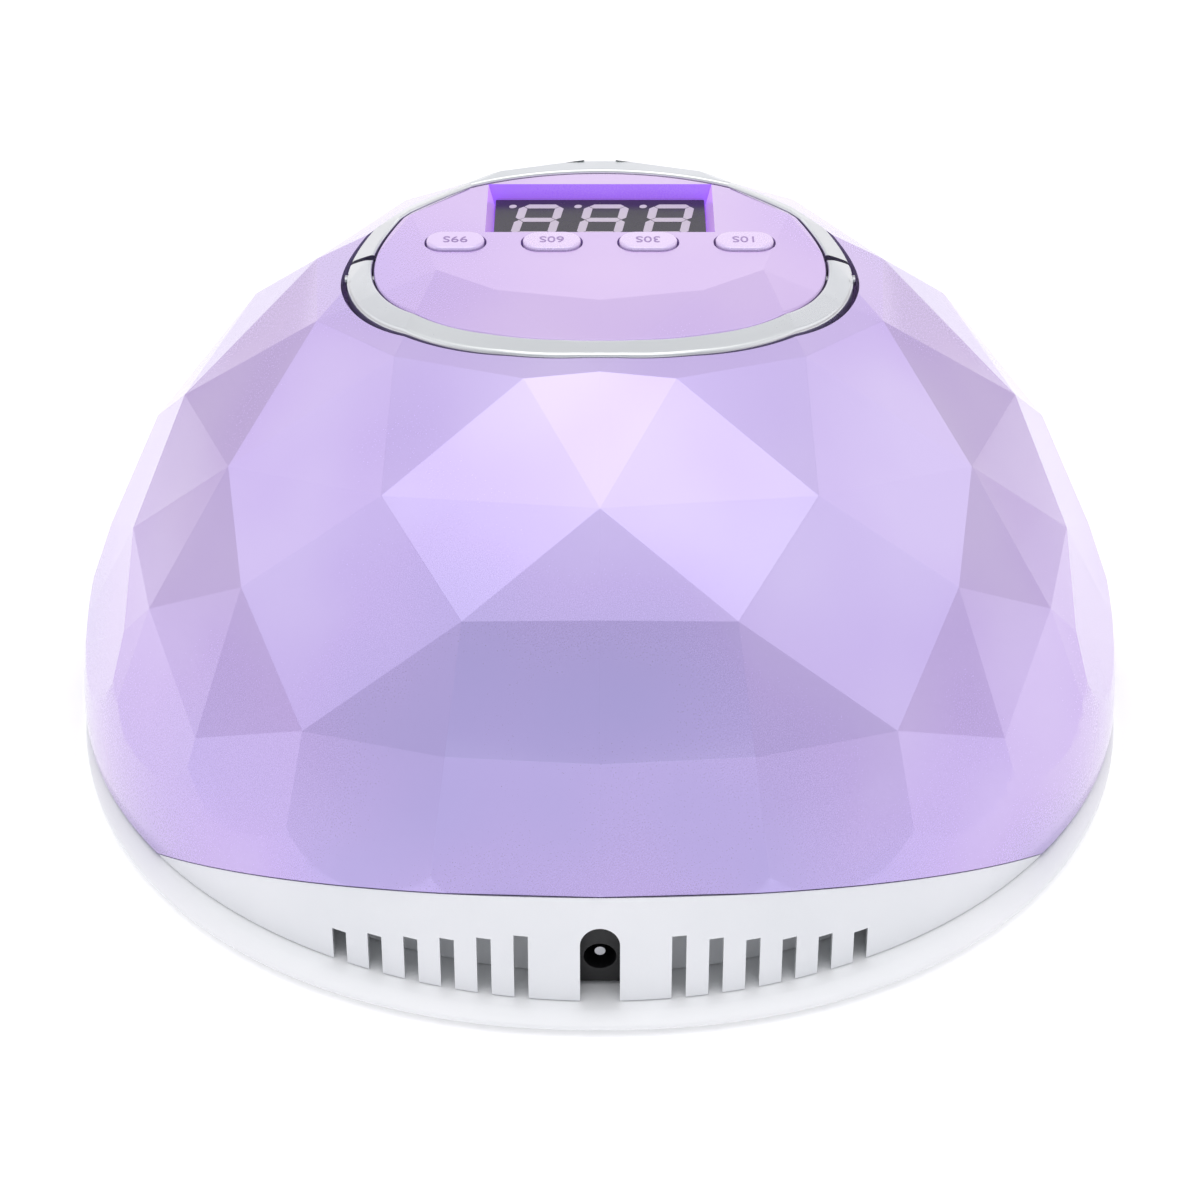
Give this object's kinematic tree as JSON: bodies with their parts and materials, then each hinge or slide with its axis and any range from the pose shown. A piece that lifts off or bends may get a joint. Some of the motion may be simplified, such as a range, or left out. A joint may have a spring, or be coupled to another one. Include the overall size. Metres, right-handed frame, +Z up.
{
  "type": "uv curing lamp",
  "caption": "Half-dome lamp with a faceted shell, an arched hand opening, a timer panel inside a chrome ring handle, rear vents and a lift-off tray.",
  "frame": {"origin": "on the table, under the middle of the tray", "axes": "+Z up, the hand opening faces -Y, the vents and the power inlet face +Y, +X is the right hand of a user at the opening"},
  "size_m": [0.2158, 0.222, 0.1016],
  "materials": {
    "shell_lilac": "pearl lilac gloss",
    "panel_lilac": "pearl lilac gloss, pinker",
    "button_lilac": "gloss lilac, soft edge",
    "chrome_ring": "satin chrome plate",
    "steel": "zinc plated",
    "display_smoke": "smoked acrylic filter",
    "black_plastic": "moulded black",
    "circuit_board": "green solder mask",
    "liner_white": "bright white reflector",
    "housing_white": "satin white",
    "tray_white": "satin white",
    "led_board": "white solder mask with lamp domes",
    "sensor_dark": "dark infrared epoxy",
    "capacitor_sleeve": "shrink sleeve",
    "inductor_core": "ferrite",
    "ribbon_grey": "grey flat cable",
    "foot_rubber": "soft rubber"
  },
  "bodies": {
    "tray": {"base_tray": "tray_white", "keeper_disc_1": "steel", "keeper_disc_2": "steel", "keeper_disc_3": "steel", "keeper_disc_4": "steel", "rubber_foot_1": "foot_rubber", "rubber_foot_2": "foot_rubber", "rubber_foot_3": "foot_rubber", "rubber_foot_4": "foot_rubber"},
    "lamp": {"outer_shell": "shell_lilac", "control_panel": "panel_lilac", "front_trim_arc": "chrome_ring", "handle_pin_left": "steel", "handle_pin_right": "steel", "display_lens": "display_smoke", "display_module": "black_plastic", "control_board": "circuit_board", "switch_10s": "black_plastic", "switch_30s": "black_plastic", "switch_60s": "black_plastic", "switch_99s": "black_plastic", "board_screw_1": "steel", "board_screw_2": "steel", "board_screw_3": "steel", "board_screw_4": "steel", "panel_screw_1": "steel", "panel_screw_2": "steel", "panel_screw_3": "steel", "panel_screw_4": "steel", "inner_liner": "liner_white", "led_board_top": "led_board", "led_board_right": "led_board", "led_board_left": "led_board", "led_board_rear": "led_board", "ir_emitter": "sensor_dark", "ir_receiver": "sensor_dark", "base_housing": "housing_white", "housing_screw_1": "steel", "housing_screw_2": "steel", "housing_screw_3": "steel", "housing_screw_4": "steel", "housing_screw_5": "steel", "housing_screw_6": "steel", "magnet_1": "steel", "magnet_2": "steel", "magnet_3": "steel", "magnet_4": "steel", "power_board": "circuit_board", "dc_jack": "black_plastic", "jack_pin": "steel", "power_capacitor": "capacitor_sleeve", "power_inductor": "inductor_core", "ribbon_cable": "ribbon_grey"},
    "handle": {"carry_handle": "chrome_ring"},
    "key_10s": {"button_10s": "button_lilac"},
    "key_30s": {"button_30s": "button_lilac"},
    "key_60s": {"button_60s": "button_lilac"},
    "key_99s": {"button_99s": "button_lilac"}
  },
  "joints": [
    {"name": "lamp_lift", "type": "slide", "parent": "tray", "child": "lamp", "axis": [0, 0, 1], "range_m": [0, 0.04]},
    {"name": "handle_fold", "type": "hinge", "parent": "lamp", "child": "handle", "pos_m": [0, 0, 0.09406], "axis": [1, 0, 0], "range_deg": [0, 90]},
    {"name": "press_10s", "type": "slide", "parent": "lamp", "child": "key_10s", "axis": [0, 0, -1], "range_m": [0, 0.0008], "stiffness_N_per_m": 500},
    {"name": "press_30s", "type": "slide", "parent": "lamp", "child": "key_30s", "axis": [0, 0, -1], "range_m": [0, 0.0008], "stiffness_N_per_m": 500},
    {"name": "press_60s", "type": "slide", "parent": "lamp", "child": "key_60s", "axis": [0, 0, -1], "range_m": [0, 0.0008], "stiffness_N_per_m": 500},
    {"name": "press_99s", "type": "slide", "parent": "lamp", "child": "key_99s", "axis": [0, 0, -1], "range_m": [0, 0.0008], "stiffness_N_per_m": 500}
  ]
}
